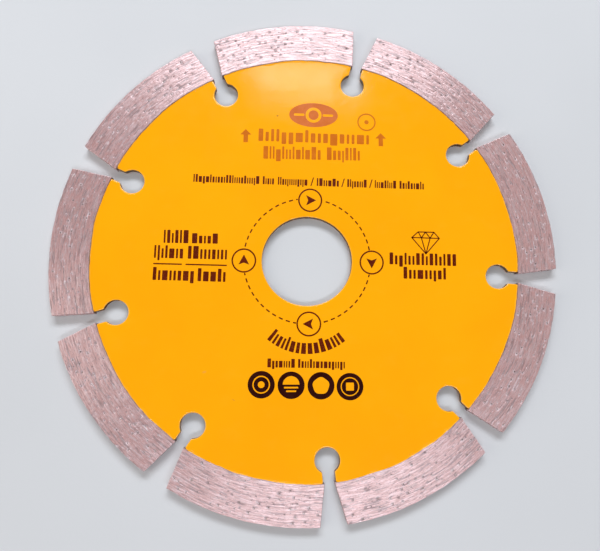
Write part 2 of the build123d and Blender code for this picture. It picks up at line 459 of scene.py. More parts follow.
def plate(name, loops, profile, material, edge_scale=None):
    """A closed plate with a bore. loops: the outline, then the bore, as (points, outward normals).
    profile: [(inset, z)] from the middle of the top face's margin round the edge to the bottom's.
    Both loops start at the first slot's centre line, so the flat faces split into one sector per tooth."""
    verts, quads, edge, starts = [], [], [], []
    base = 0
    for i, (p, n) in enumerate(loops):
        count = len(p)
        starts.append((base, count))
        for inset, z in profile:
            verts.append(np.column_stack([p - n * inset, np.full(count, z)]))
            edge.append(np.full(count, inset))
        a = np.arange(count)
        b = (a + 1) % count
        for j in range(len(profile) - 1):
            r0, r1 = base + j * count, base + (j + 1) * count
            ring = np.stack([r0 + a, r1 + a, r1 + b, r0 + b], 1)
            quads.append(ring if i == 0 else ring[:, ::-1])
        base += len(profile) * count
    v = np.concatenate(verts)
    tris = []
    (s_out, c_out), (s_in, c_in) = starts
    for row, up in ((0, True), (len(profile) - 1, False)):
        for k in range(N):
            o = [s_out + row * c_out + (k * c_out // N + j) % c_out for j in range(c_out // N + 1)]
            h = [s_in + row * c_in + (k * c_in // N + j) % c_in for j in range(c_in // N + 1)]
            index = o + h[::-1]
            flat = [Vector(v[j][:2]) for j in index]
            got, _, faces, origin, _, _ = delaunay_2d_cdt(flat, [], [list(range(len(flat)))], 1, 1e-7)
            assert len(got) == len(flat), (len(got), len(flat))
            for t in faces:
                x = [index[origin[j][0]] for j in t]
                (ax, ay), (bx, by), (cx, cy) = v[x[0]][:2], v[x[1]][:2], v[x[2]][:2]
                area = (bx - ax) * (cy - ay) - (by - ay) * (cx - ax)
                tris.append(x if (area > 0) == up else x[::-1])
    me = new_mesh(name, v, [np.concatenate(quads), np.array(tris)])
    if edge_scale:
        float_attribute(me, "edge", np.clip(np.concatenate(edge) / edge_scale, 0, 1))
    return new_object(name, me, material)


# ---------------------------------------------------------------- segments
def noise_field(rng, length, width, step, sig_along, sig_across):
    """A smooth random field over length by width, unit deviation, and its sampler."""
    nx, ny = int(length / step) + 2, int(width / step) + 2
    w = rng.standard_normal((nx, ny))
    fx = np.fft.fftfreq(nx, step)[:, None]
    fy = np.fft.fftfreq(ny, step)[None, :]
    g = np.exp(-2 * math.pi**2 * ((fx * sig_along) ** 2 + (fy * sig_across) ** 2))
    f = np.real(np.fft.ifft2(np.fft.fft2(w) * g))
    f /= f.std()

    def sample(x, y):
        gx = np.clip(x / step, 0, nx - 1.001)
        gy = np.clip(y / step, 0, ny - 1.001)
        i, j = gx.astype(int), gy.astype(int)
        u, v = gx - i, gy - j
        return (
            f[i, j] * (1 - u) * (1 - v) + f[i + 1, j] * u * (1 - v)
            + f[i, j + 1] * (1 - u) * v + f[i + 1, j + 1] * u * v
        )

    return sample


def end_angle(r):
    """Angle in degrees between a slot's centre line and a segment's end, at radius r."""
    m, c = GAP_SLOPE, GAP_FOOT - FOOT_R * GAP_SLOPE
    r = np.asarray(r, float)
    u = (-m * c + np.sqrt((m * c) ** 2 - (1 + m * m) * (c * c - r * r))) / (1 + m * m)
    return np.degrees(np.arctan2(m * u + c, u))


def islands(ob):
    """Centres of the separate crystals of a packed grit node, in mm."""
    me = ob.data
    co = np.zeros(len(me.vertices) * 3, np.float32)
    me.vertices.foreach_get("co", co)
    co = co.reshape(-1, 3) / MM
    key, inverse = np.unique(np.round(co, 4), axis=0, return_inverse=True)
    inverse = inverse.ravel()
    parent = list(range(len(key)))

    def find(i):
        while parent[i] != i:
            parent[i] = parent[parent[i]]
            i = parent[i]
        return i

    for p in me.polygons:
        v = [int(inverse[j]) for j in p.vertices]
        for j in v[1:]:
            parent[find(v[0])] = find(j)
    groups = {}
    for i in range(len(key)):
        groups.setdefault(find(i), []).append(i)
    return [(key[g].mean(0), float(np.linalg.norm(key[g] - key[g].mean(0), axis=1).max())) for g in groups.values()]


CUBO = [(x, y, 0) for x in (1, -1) for y in (1, -1)]
CUBO += [(x, 0, z) for x in (1, -1) for z in (1, -1)]
CUBO += [(0, y, z) for y in (1, -1) for z in (1, -1)]
CUBO = np.array(CUBO, float) / math.sqrt(2)


def hull_faces():
    """Faces of the cuboctahedron as index rings, squares then triangles."""
    faces = []
    for k in range(3):
        for s in (1, -1):
            ring = [i for i in range(12) if CUBO[i][k] * s > 0.5]
            normal = np.zeros(3)
            normal[k] = s
            faces.append((ring, normal))
    for sx in (1, -1):
        for sy in (1, -1):
            for sz in (1, -1):
                normal = np.array([sx, sy, sz]) / math.sqrt(3)
                ring = [i for i in range(12) if CUBO[i] @ normal > 0.8]
                faces.append((ring, normal))
    out = []
    for ring, normal in faces:
        centre = CUBO[ring].mean(0)
        a = CUBO[ring[0]] - centre
        a /= np.linalg.norm(a)
        b = np.cross(normal, a)
        ring = sorted(ring, key=lambda i: math.atan2((CUBO[i] - centre) @ b, (CUBO[i] - centre) @ a))
        out.append(ring)
    return out


CUBO_FACES = hull_faces()


def random_turn(rng):
    q = rng.standard_normal(4)
    w, x, y, z = q / np.linalg.norm(q)
    return np.array([
        [1 - 2 * (y * y + z * z), 2 * (x * y - z * w), 2 * (x * z + y * w)],
        [2 * (x * y + z * w), 1 - 2 * (x * x + z * z), 2 * (y * z - x * w)],
        [2 * (x * z - y * w), 2 * (y * z + x * w), 1 - 2 * (x * x + y * y)],
    ])


FACE_COLS, FACE_ROWS, EDGE_ROWS = 268, 140, 14
ROUND = 0.13


def graded(length, count):
    """Stations from 0 to length, close together near both ends."""
    lead = np.array([0.0, 0.02, 0.05, 0.09, 0.14])
    mid = np.linspace(0.14, length - 0.14, count - 8)
    return np.concatenate([lead[:-1], mid, (length - lead[:-1])[::-1]])


def rounded(d):
    x = np.clip(1 - d / ROUND, 0, 1)
    return ROUND * (1 - np.sqrt(1 - x * x))


def make_segment(index, crystals, rng):
    """High-resolution dressed segment. crystals: (x, y, z, radius) in mm on its surfaces."""
    a0 = SLOTS[index]
    mean_len = math.radians(PITCH - 2 * float(end_angle(57.7))) * 57.7
    depth = BLADE_R - FOOT_R
    cols = graded(mean_len, FACE_COLS) / mean_len
    rows = graded(depth, FACE_ROWS)
    nc, nr = len(cols), len(rows)
    S, T = np.meshgrid(cols, rows, indexing="ij")
    wob = noise_field(rng, mean_len, 2, 0.1, 0.9, 5)
    wob2 = noise_field(rng, mean_len, 2, 0.1, 0.35, 5)
    wobf = noise_field(rng, mean_len, 2, 0.1, 0.8, 5)
    ends = [noise_field(rng, depth, 2, 0.1, 0.5, 5) for _ in range(2)]
    at_foot = np.exp(-T / 0.35)
    at_rim = np.exp(-(depth - T) / 0.35)
    arc = S * mean_len
    sway = noise_field(rng, mean_len, 2, 0.1, 2.6, 5)
    foot_shift = -0.060 * (sway(arc, 0 * arc) + 1.2) - 0.040 * np.abs(wobf(arc, 0 * arc)) - 0.02 * np.abs(wob2(arc, 0 * arc))
    rim_shift = -0.035 * np.abs(wob(arc, 0 * arc)) - 0.03 * np.abs(wob2(arc, 0 * arc + 1))
    R = FOOT_R + T + foot_shift * at_foot + rim_shift * at_rim
    delta = end_angle(R)
    chip0 = 0.035 * np.abs(ends[0](T, 0 * T)) * np.exp(-arc / 0.3)
    chip1 = 0.035 * np.abs(ends[1](T, 0 * T)) * np.exp(-(mean_len - arc) / 0.3)
    theta = a0 + delta + S * (PITCH - 2 * delta) + np.degrees((chip0 - chip1) / R)
    X, Y = R * np.cos(np.radians(theta)), R * np.sin(np.radians(theta))
    border = np.minimum.reduce([T, depth - T, arc, mean_len - arc])
    drop = rounded(border)

    col_mm = cols * mean_len

    def window(x, y, before, after, half):
        """Slices of the grid round one feature, with the distances along and across from it."""
        cr, ct = math.hypot(x, y), math.degrees(math.atan2(y, x))
        d = float(end_angle(cr))
        at = ((ct - a0 + 180) % 360 - 180 - d) / (PITCH - 2 * d) * mean_len
        i0, i1 = np.searchsorted(col_mm, (at - before, at + after))
        j0, j1 = np.searchsorted(rows, (cr - FOOT_R - half, cr - FOOT_R + half))
        box = slice(max(i0 - 1, 0), i1 + 1), slice(max(j0 - 1, 0), j1 + 1)
        ds = np.radians((theta[box] - ct + 180) % 360 - 180) * cr
        return box, ds, R[box] - cr

    sheets = []
    for side in (1, -1):
        groove = noise_field(rng, mean_len, depth, 0.05, 1.15, 0.120)
        scratch = noise_field(rng, mean_len, depth, 0.035, 0.50, 0.068)
        gouge = noise_field(rng, mean_len, depth, 0.035, 0.60, 0.062)
        grain = noise_field(rng, mean_len, depth, 0.05, 0.16, 0.09)
        swell = noise_field(rng, mean_len, depth, 0.1, 3.0, 2.0)
        lines = 0.0155 * groove(arc, T) + 0.0110 * scratch(arc, T) - 0.018 * np.clip(gouge(arc, T) - 1.2, 0, 2)
        base_h = lines + 0.003 * grain(arc, T) + 0.007 * swell(arc, T)
        h = -0.018 * np.clip(grain(arc + 0.03, T) - 2.1, 0, 1)
        # short pits torn out of the matrix, sharp at the leading end
        for _ in range(115):
            pr = float(rng.uniform(FOOT_R + 0.35, BLADE_R - 0.3))
            pt = math.radians(a0 + PITCH / 2 + float(rng.uniform(-1, 1)) * (PITCH / 2 - float(end_angle(pr)) - 0.3))
            length = 0.12 + float(rng.exponential(0.18))
            width = float(rng.uniform(0.080, 0.155))
            deep = float(rng.uniform(0.028, 0.066))
            box, ds, dr = window(pr * math.cos(pt), pr * math.sin(pt), 0.5, 0.5 + 2.6 * length, 0.35)
            run = np.where(ds < 0, np.exp(-((ds / 0.085) ** 2)), np.exp(-((ds / length) ** 2)))
            h[box] -= deep * run * np.exp(-((dr / width) ** 2))
        for x, y, z, rad in crystals:
            if z * side < 0.5:
                continue
            reach = rad * float(rng.uniform(2.5, 10.0))
            lean = float(rng.uniform(-0.5, 0.5)) * rad
            box, ds, dr = window(x, y, rad * 3.5, rad * 3.5 + 3.2 * reach, rad * 4.5)
            near = np.exp(-((ds / (rad * 1.5)) ** 2 + (dr / (rad * 1.35)) ** 2))
            lead = np.exp(-(((ds + rad * 1.1) / (rad * 1.05)) ** 2 + (dr / (rad * 1.35)) ** 2))
            run = np.clip(ds / reach, 0, 1)
            off = dr - lean * run
            tail = np.where(ds > 0, np.exp(-ds / reach), 0) * np.exp(-((off / (rad * 0.75)) ** 2))
            upper, lower = float(rng.uniform(0.0, 1.0)), float(rng.uniform(0.0, 1.0))
            flank = np.where(ds > -rad * 0.3, np.exp(-np.abs(ds) / reach), 0) * (
                upper * np.exp(-(((off - rad * 1.2) / (rad * 0.62)) ** 2))
                + lower * np.exp(-(((off + rad * 1.2) / (rad * 0.62)) ** 2))
            )
            h[box] += rad / 0.25 * (-0.032 * near - 0.052 * lead + 0.024 * tail - 0.052 * flank)
        h = np.clip(h, -0.075, 0.045)
        fade = np.clip(border / 0.25, 0.15, 1)
        Z = side * (SEG_T / 2 - drop + np.clip(h + base_h, -0.09, 0.055) * fade)
        sheets.append((np.stack([X, Y, Z], 2), h + 0.25 * base_h, lines))

    front, back = sheets[0][0], sheets[1][0]
    height_f, height_b = sheets[0][1], sheets[1][1]
    furrows = [sheets[0][2].ravel(), sheets[1][2].ravel()]
    verts = [front.reshape(-1, 3), back.reshape(-1, 3)]
    heights = [height_f.ravel(), height_b.ravel()]
    uvs = [np.stack([arc, T], 2).reshape(-1, 2), np.stack([arc, T], 2).reshape(-1, 2)]
    fi = np.arange(nc * nr).reshape(nc, nr)
    bi = fi + nc * nr
    quads = []

    def grid(ix, flip):
        q = np.stack([ix[:-1, :-1], ix[1:, :-1], ix[1:, 1:], ix[:-1, 1:]], 2).reshape(-1, 4)
        quads.append(q[:, ::-1] if flip else q)

    grid(fi, True)
    grid(bi, False)
    nxt = 2 * nc * nr

    # the four edge walls, each sharing its border with both faces, corners with each other
    zt = np.linspace(0, 1, EDGE_ROWS + 1)[1:-1]
    loop_f = np.concatenate([fi[:, 0], fi[-1, 1:], fi[-2::-1, -1], fi[0, -2:0:-1]])
    loop_b = np.concatenate([bi[:, 0], bi[-1, 1:], bi[-2::-1, -1], bi[0, -2:0:-1]])
    all_v = np.concatenate(verts)
    pf, pb = all_v[loop_f], all_v[loop_b]
    count = len(loop_f)
    mid = (pf + pb) / 2
    nxt_p, prv_p = np.roll(mid, -1, 0), np.roll(mid, 1, 0)
    tan = nxt_p - prv_p
    normal = np.stack([tan[:, 1], -tan[:, 0], 0 * tan[:, 0]], 1)
    normal /= np.linalg.norm(normal, axis=1)[:, None]
    run = np.concatenate([[0], np.cumsum(np.linalg.norm(np.diff(mid, axis=0), axis=1))])
    wall_noise = noise_field(rng, run[-1] + 1, SEG_T, 0.05, 0.9, 0.12)
    wall_grain = noise_field(rng, run[-1] + 1, SEG_T, 0.05, 0.14, 0.10)
    wall_idx = [loop_f]
    for t in zt:
        p = pf * (1 - t) + pb * t
        zz = np.full(count, t * SEG_T)
        h = 0.010 * wall_noise(run, zz) + 0.006 * wall_grain(run, zz)
        h -= 0.02 * np.clip(wall_grain(run + 0.02, zz) - 1.9, 0, 1)
        for x, y, z, rad in crystals:
            if abs(z) > 0.75:
                continue
            d = np.linalg.norm(p - (x, y, z), axis=1)
            h -= 0.04 * np.exp(-((d / (rad * 1.5)) ** 2))
        h = np.clip(h, -0.09, 0.0) - 0.0
        p = p + normal * h[:, None]
        verts.append(p)
        heights.append(h)
        furrows.append(0.9 * h)
        uvs.append(np.stack([run, zz], 1))
        wall_idx.append(np.arange(nxt, nxt + count))
        nxt += count
    wall_idx.append(loop_b)
    for r0, r1 in zip(wall_idx[:-1], wall_idx[1:]):
        quads.append(np.stack([r0, np.roll(r0, -1), np.roll(r1, -1), r1], 1)[:, ::-1])
    v = np.concatenate(verts)
    f = np.concatenate(quads)
    # outward faces: the front sheet's must look up
    q = f[0]
    if np.cross(v[q[1]] - v[q[0]], v[q[2]] - v[q[0]])[2] < 0:
        f = f[:, ::-1]
    me = new_mesh(f"segment_body_{index + 1}", v, [f])
    hh = np.clip(np.concatenate(heights) / 0.08 * 0.5 + 0.5, 0, 1)
    float_attribute(me, "height", hh)
    radii = np.hypot(v[:, 0], v[:, 1])
    reach_in = np.concatenate([np.tile(T.ravel(), 2), np.full(len(v) - 2 * nc * nr, 9.0)])
    joint = np.clip((0.13 - reach_in) / 0.10, 0, 1) * 0.85
    under = (np.arange(len(v)) >= 2 * nc * nr) & (radii < FOOT_R + 0.02)
    joint[under] = 1.0
    float_attribute(me, "joint", joint)
    float_attribute(me, "furrow", np.clip(np.concatenate(furrows) / 0.12 + 0.5, 0, 1))
    uv = me.uv_layers.new(name="along")
    loops = np.zeros(len(me.loops), np.int32)
    me.loops.foreach_get("vertex_index", loops)
    flat = np.concatenate(uvs)[loops] / 100
    uv.data.foreach_set("uv", flat.astype(np.float32).ravel())
    return me, (R[:, 0], theta[:, 0], col_mm)


def random_crystals(index, rng, taken):
    """Extra crystals on the two faces, the rim and the ends, clear of those already there."""
    mid = SLOTS[index] + PITCH / 2
    made = []
    for side in (1, -1):
        want, tries = 34, 0
        while want and tries < 4000:
            tries += 1
            r = rng.uniform(FOOT_R + 0.6, BLADE_R - 0.5)
            lim = PITCH / 2 - float(end_angle(r)) - math.degrees(0.6 / r)
            t = math.radians(mid + rng.uniform(-1, 1) * lim)
            rad = float(rng.choice([0.15, 0.18, 0.22, 0.26]))
            p = np.array([r * math.cos(t), r * math.sin(t), side * (SEG_T / 2 + 0.045 - rad * 0.86)])
            if all(np.linalg.norm(p - q[0]) > 1.05 for q in taken + made):
                made.append((p, rad))
                want -= 1
    want, tries = 12, 0
    while want and tries < 3000:
        tries += 1
        t = math.radians(mid + rng.uniform(-1, 1) * (PITCH / 2 - float(end_angle(BLADE_R)) - 0.6))
        rad = float(rng.choice([0.17, 0.22]))
        r = BLADE_R - 0.01 - rad * 0.85
        p = np.array([r * math.cos(t), r * math.sin(t), rng.uniform(-0.7, 0.7)])
        if all(np.linalg.norm(p - q[0]) > 1.0 for q in taken + made):
            made.append((p, rad))
            want -= 1
    for sign in (-1, 1):
        want, tries = 7, 0
        while want and tries < 2000:
            tries += 1
            r = rng.uniform(FOOT_R + 0.7, BLADE_R - 0.6)
            rad = 0.2
            off = float(end_angle(r)) + math.degrees((rad * 0.75) / r)
            t = math.radians(mid + sign * (PITCH / 2 - off))
            p = np.array([r * math.cos(t), r * math.sin(t), rng.uniform(-0.7, 0.7)])
            if all(np.linalg.norm(p - q[0]) > 0.9 for q in taken + made):
                made.append((p, rad))
                want -= 1
    return made


def crystal_mesh(name, node, extra, rng):
    """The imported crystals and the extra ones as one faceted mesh."""
    me = node.data
    co = np.zeros(len(me.vertices) * 3, np.float32)
    me.vertices.foreach_get("co", co)
    verts = [co.reshape(-1, 3) / MM]
    tris = [np.array([list(p.vertices) for p in me.polygons if len(p.vertices) == 3], np.int32)]
    quads = []
    base = len(verts[0])
    for p, rad in extra:
        stretch = 1 + 0.12 * rng.standard_normal(3)
        v = (CUBO * stretch) @ random_turn(rng).T
        v = v / np.linalg.norm(v, axis=1).max() * rad
        verts.append(v + p)
        for ring in CUBO_FACES:
            (quads if len(ring) == 4 else tris).append(np.array([ring], np.int32) + base)
        base += 12
    return new_mesh(name, np.concatenate(verts), [np.concatenate(tris), np.concatenate(quads)], smooth=False)


# ---------------------------------------------------------------- materials
MARKS = [
    # x, y, rx, ry, degrees, amount, colour
    (-7.5, 37.6, 0.35, 0.22, 20, 0.8, (0.25, 0.10, 0.02)),
    (-17.5, -33.5, 0.55, 0.16, -30, 0.5, (0.55, 0.24, 0.03)),
    (-24.5, -27.0, 0.65, 0.35, 15, 0.45, (0.70, 0.33, 0.06)),
    (48.8, -4.6, 0.55, 0.12, 60, 0.7, (0.45, 0.20, 0.04)),
]
ENAMEL = enamel_material("enamel_yellow", MARKS)
ENAMEL_BACK = enamel_material("enamel_yellow_back", [])
STEEL = steel_material("core_steel_cut")
SINTER = sintered_material("sintered_matrix")
DIAMOND = diamond_material("diamond_grit")
INK_DARK = ink_material("ink_maroon", (0.095, 0.0080, 0.0004), (0.130, 0.0135, 0.0008), 0.14)
INK_DEEP = ink_material("ink_deep_maroon", (0.020, 0.0012, 0.0002), (0.032, 0.0026, 0.0004), 0.0)
INK_FADED = ink_material("ink_faded_orange", (0.53, 0.125, 0.001), (0.60, 0.155, 0.003), 0.22)
INK_OVAL = ink_material("ink_faded_rose", (0.56, 0.130, 0.018), (0.62, 0.160, 0.040), 0.14)
FLOOR = floor_material("pale_floor")

# ---------------------------------------------------------------- core and enamel
core_profile = [
    (0.30, 0.80), (0.16, 0.797), (0.09, 0.785), (0.04, 0.762), (0.01, 0.725), (0.0, 0.68),
    (0.0, 0.34), (0.0, 0.0), (0.0, -0.34),
    (0.0, -0.68), (0.01, -0.725), (0.04, -0.762), (0.09, -0.785), (0.16, -0.797), (0.30, -0.80),
]
core = plate("blade_core", [outline(RIM_R, True), circle_loop(BORE_R, 252)], core_profile, STEEL)
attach(core, "root")
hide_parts("steel_core")

film = [
    (0.38, 0.86), (0.34, 0.8585), (0.30, 0.855), (0.26, 0.8495), (0.21, 0.8405), (0.16, 0.829), (0.11, 0.8135),
    (0.065, 0.792), (0.03, 0.760), (0.005, 0.715), (-0.006, 0.66), (-0.008, 0.60),
    (0.0, 0.58), (0.004, 0.63), (0.02, 0.69), (0.05, 0.735), (0.10, 0.770), (0.17, 0.788), (0.38, 0.795),
]
paint_rim = FOOT_R + 0.06
for name, sign, node, material in (
    ("enamel_front", 1, "front_enamel", ENAMEL),
    ("enamel_back", -1, "back_enamel", ENAMEL_BACK),
):
    ob = plate(name, [outline(paint_rim), circle_loop(BORE_R, 252)], film, material, edge_scale=0.38)
    if sign < 0:
        ob.data.transform(Matrix.Scale(-1, 4, (0, 0, 1)))
        ob.data.flip_normals()
    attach(ob, "root")
    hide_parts(node)

# ---------------------------------------------------------------- segments and grit
feet = []
for k in range(N):
    rng = np.random.default_rng(7100 + k)
    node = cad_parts[f"diamond_grit_{k + 1}"]
    packed = islands(node)
    extra = random_crystals(k, rng, packed)
    every = [(float(c[0]), float(c[1]), float(c[2]), r) for c, r in packed + extra]
    body_mesh, foot = make_segment(k, every, rng)
    feet.append(foot)
    body = new_object(f"segment_body_{k + 1}", body_mesh, SINTER)
    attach(body, "root")
    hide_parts(f"segment_{k + 1}")
    grit = new_object(f"grit_{k + 1}", crystal_mesh(f"grit_{k + 1}", node, extra, rng), DIAMOND)
    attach(grit, "root")
    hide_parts(f"diamond_grit_{k + 1}")

# ---------------------------------------------------------------- enamel drawn up against the segments' feet
BEAD = np.array([
    (-0.34, 0.8590), (-0.25, 0.8615), (-0.17, 0.8690), (-0.10, 0.8830), (-0.05, 0.9010), (-0.01, 0.9250),
    (0.03, 0.9450), (0.12, 0.9500), (0.12, 0.8200), (-0.34, 0.8200),
])


def bead_mesh(name, sign):
    rng = np.random.default_rng(8200 + sign)
    verts, quads, caps = [], [], []
    base, m = 0, len(BEAD)
    for radius, theta, along in feet:
        length = along[-1]
        body = noise_field(rng, length, 2, 0.1, 0.9, 5)
        keep = np.where((along > 0.66) & (along < length - 0.66))[0]
        for c in keep:
            s = along[c]
            full = min(1.0, (s - 0.60) / 0.5, (length - 0.60 - s) / 0.5)
            swell = 1 + 0.28 * float(body(np.array([s]), np.array([0.0]))[0])
            swell = min(max(swell, 0.55), 1.6)
            d = np.where(BEAD[:, 0] < 0, BEAD[:, 0] * swell * (0.6 + 0.4 * full), BEAD[:, 0])
            z = np.where(BEAD[:, 1] > 0.859, 0.859 + (BEAD[:, 1] - 0.859) * swell * (0.1 + 0.9 * full), BEAD[:, 1])
            r = radius[c] + d
            t = math.radians(theta[c])
            verts.append(np.stack([r * math.cos(t), r * math.sin(t), z * sign], 1))
        n = len(keep)
        ids = base + np.arange(n * m).reshape(n, m)
        nxt_ids = np.roll(ids, -1, axis=1)
        q = np.stack([ids[:-1], ids[1:], nxt_ids[1:], nxt_ids[:-1]], 2).reshape(-1, 4)
        quads.append(q if sign > 0 else q[:, ::-1])
        caps.append(ids[0] if sign > 0 else ids[0][::-1])
        caps.append(ids[-1][::-1] if sign > 0 else ids[-1])
        base += n * m
    me = new_mesh(name, np.concatenate(verts), [np.concatenate(quads), np.array(caps)])
    # this grade also sets where the enamel paints its pale highlight on the bead, and the brown at the wall
    grade = [1.0, 0.86, 0.60, 0.40, 0.26, 0.10, 0.0, 0.0, 1.0, 1.0]
    float_attribute(me, "edge", np.tile(grade, len(me.vertices) // m))
    return me


for name, sign, material in (("enamel_bead_front", 1, ENAMEL), ("enamel_bead_back", -1, ENAMEL_BACK)):
    ob = new_object(name, bead_mesh(name, sign), material)
    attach(ob, "root")

# ---------------------------------------------------------------- print
PRINT_LOW, PRINT_HIGH = 0.850, 0.874


def turned(points, deg, cx, cy):
    return rotate(np.asarray(points, float) - (cx, cy), deg) + (cx, cy)


class Print:
    """Closed outlines in mm that become one thin printed solid; nested outlines are holes."""

    def __init__(self):
        self.loops = []

    def poly(self, points):
        self.loops.append(np.asarray(points, float))

    def tilt(self, start, deg, cx, cy):
        """Turn every outline added since start about cx, cy."""
        for i in range(start, len(self.loops)):
            self.loops[i] = turned(self.loops[i], deg, cx, cy)

    def ellipse(self, x, y, rx, ry=None, count=64):
        t = np.linspace(0, 2 * math.pi, count, endpoint=False)
        self.poly(np.stack([x + rx * np.cos(t), y + (ry or rx) * np.sin(t)], 1))

    def ring(self, x, y, r, w, count=64, ry=None):
        self.ellipse(x, y, r + w / 2, (ry + w / 2) if ry else None, count)
        self.ellipse(x, y, r - w / 2, (ry - w / 2) if ry else None, count)

    def box(self, x0, y0, x1, y1, corner=0.08):
        c = min(corner, abs(x1 - x0) / 2.2, abs(y1 - y0) / 2.2)
        pts = []
        for cx, cy, a in ((x1 - c, y1 - c, 0), (x0 + c, y1 - c, 90), (x0 + c, y0 + c, 180), (x1 - c, y0 + c, 270)):
            for d in (0, 30, 60, 90):
                t = math.radians(a + d)
                pts.append((cx + c * math.cos(t), cy + c * math.sin(t)))
        self.poly(pts)

    def arc_box(self, r0, r1, a0, a1, cx=0.0, cy=0.0):
        n = max(3, int(abs(a1 - a0) / 2) + 2)
        t = np.radians(np.linspace(a0, a1, n))
        outer = np.stack([cx + r1 * np.cos(t), cy + r1 * np.sin(t)], 1)
        inner = np.stack([cx + r0 * np.cos(t), cy + r0 * np.sin(t)], 1)[::-1]
        self.poly(np.concatenate([outer, inner]))

    def arch(self, x, y, rx, ry, w, a0, a1):
        """A band of width w along part of an ellipse."""
        t = np.radians(np.linspace(a0, a1, 28))
        outer = np.stack([x + (rx + w / 2) * np.cos(t), y + (ry + w / 2) * np.sin(t)], 1)
        inner = np.stack([x + (rx - w / 2) * np.cos(t), y + (ry - w / 2) * np.sin(t)], 1)[::-1]
        self.poly(np.concatenate([outer, inner]))

    def line(self, words, y, h, bar, deg, seed):
        """A line of placeholder words, each a row of plain upright bars between x0 and x1 on the baseline y."""
        rng = random.Random(seed)
        start = len(self.loops)
        for x0, x1 in words:
            widths, total = [], 0.0
            while total < x1 - x0:
                w = bar * rng.choice((0.9, 1.0, 1.1, 1.6, 1.6, 2.5))
                widths.append(w)
                total += w + bar * 0.82
            total -= bar * 0.82
            k = (x1 - x0) / total
            x = x0
            for i, w in enumerate(widths):
                top = h if i == 0 or rng.random() < 0.24 else h * 0.76
                low = -0.18 * h if i and rng.random() < 0.06 else 0.0
                self.box(x, y + low, x + w * k, y + top, bar * 0.3)
                x += (w + bar * 0.82) * k
        self.tilt(start, deg, (words[0][0] + words[-1][1]) / 2, y)

    def build(self, name, material):
        cu = bpy.data.curves.new(name, "CURVE")
        cu.dimensions = "2D"
        cu.fill_mode = "BOTH"
        cu.extrude = (PRINT_HIGH - PRINT_LOW) / 2
        for p in self.loops:
            sp = cu.splines.new("POLY")
            sp.points.add(len(p) - 1)
            sp.points.foreach_set("co", np.column_stack([p, np.zeros(len(p)), np.ones(len(p))]).astype(np.float32).ravel())
            sp.use_cyclic_u = True
        temp = bpy.data.objects.new(name + "_curve", cu)
        bpy.context.scene.collection.objects.link(temp)
        bpy.context.view_layer.update()
        me = bpy.data.meshes.new_from_object(temp.evaluated_get(bpy.context.evaluated_depsgraph_get()))
        bpy.data.objects.remove(temp)
        bpy.data.curves.remove(cu)
        me.name = name
        me.transform(Matrix.Translation((0, 0, (PRINT_HIGH + PRINT_LOW) / 2)))
        me.transform(Matrix.Scale(MM, 4))
        me.update()
        ob = new_object(name, me, material)
        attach(ob, "root")
        return ob


# four circled darts, running clockwise, on a dashed circle
dark = Print()
CIRCLED = ((0.83, 15.42, 0), (16.04, -0.29, -90), (0.41, -15.53, 180), (-15.52, -0.02, 90))
for x, y, deg in CIRCLED:
    dark.ring(x, y, 2.84, 0.37)
    dart = np.array([(1.5, 0), (-1.02, 1.32), (-0.52, 0), (-1.02, -1.32)])
    dark.poly(rotate(dart, deg) + (x, y))
DASH_X, DASH_Y, DASH_R = 0.05, 0.10, 15.68
for first, last, count in ((11.7, 70.8, 10), (98.2, 165.8, 11), (192.1, 259.1, 11), (286.6, 346.8, 10)):
    for mid in np.linspace(first, last, count):
        span = [
            a for a in np.linspace(mid - 1.9, mid + 1.9, 39)
            if all(
                math.hypot(
                    DASH_X + DASH_R * math.cos(math.radians(a)) - x,
                    DASH_Y + DASH_R * math.sin(math.radians(a)) - y,
                ) > 2.84 + 0.185 + 0.09
                for x, y, _ in CIRCLED
            )
        ]
        if len(span) > 8:
            dark.arc_box(DASH_R - 0.165, DASH_R + 0.165, span[0], span[-1], DASH_X, DASH_Y)

# the long line under the emblem
dark.line(
    [(-28.4, -12.0), (-11.1, -8.3), (-7.3, 0.1), (2.5, 8.05), (10.2, 15.1), (17.2, 22.6), (23.5, 29.7)],
    19.2, 2.05, 0.31, -1.24, 21,
)
for x, y in ((1.35, 19.14), (9.15, 18.97), (16.2, 18.82)):
    dark.poly([(x - 0.47, y), (x - 0.20, y), (x + 0.47, y + 2.2), (x + 0.20, y + 2.2)])
# left block
dark.line([(-35.2, -29.2)], 4.2, 3.3, 0.52, -0.4, 31)
dark.line([(-28.3, -22.0)], 4.15, 2.55, 0.50, -0.4, 37)
dark.line([(-37.4, -30.4), (-29.2, -19.7)], 0.33, 3.2, 0.52, -0.95, 32)
start = len(dark.loops)
dark.box(-37.5, -1.27, -30.6, -0.94, 0.05)
dark.box(-29.7, -1.27, -19.65, -0.94, 0.05)
dark.tilt(start, -1.1, -28.6, -1.1)
dark.line([(-37.55, -27.65), (-26.7, -19.95)], -5.15, 3.2, 0.52, -1.3, 33)
# right block
dark.line([(20.5, 37.2)], -0.87, 3.0, 0.56, -1.2, 34)
dark.line([(23.9, 34.5)], -4.36, 2.95, 0.56, -1.1, 35)
# curved word below the lower dart: bars fanned about a centre of their own
rng = random.Random(36)
a = -130.0
FAN_X, FAN_Y, FAN_R = 0.0, -7.7, 15.05
first = True
while a < -51.5:
    w = rng.choice((2.3, 2.5, 3.4, 4.6))
    w = min(w, -50.4 - a)
    tall = 3.3 if first or rng.random() < 0.28 else 2.6
    dark.arc_box(FAN_R - tall, FAN_R, a, a + w, FAN_X, FAN_Y)
    a += w + 1.75
    first = False
dark.line([(-9.55, -3.0), (-2.2, 9.05)], -26.05, 2.1, 0.33, -0.9, 38)
dark.build("print_maroon", INK_DARK)

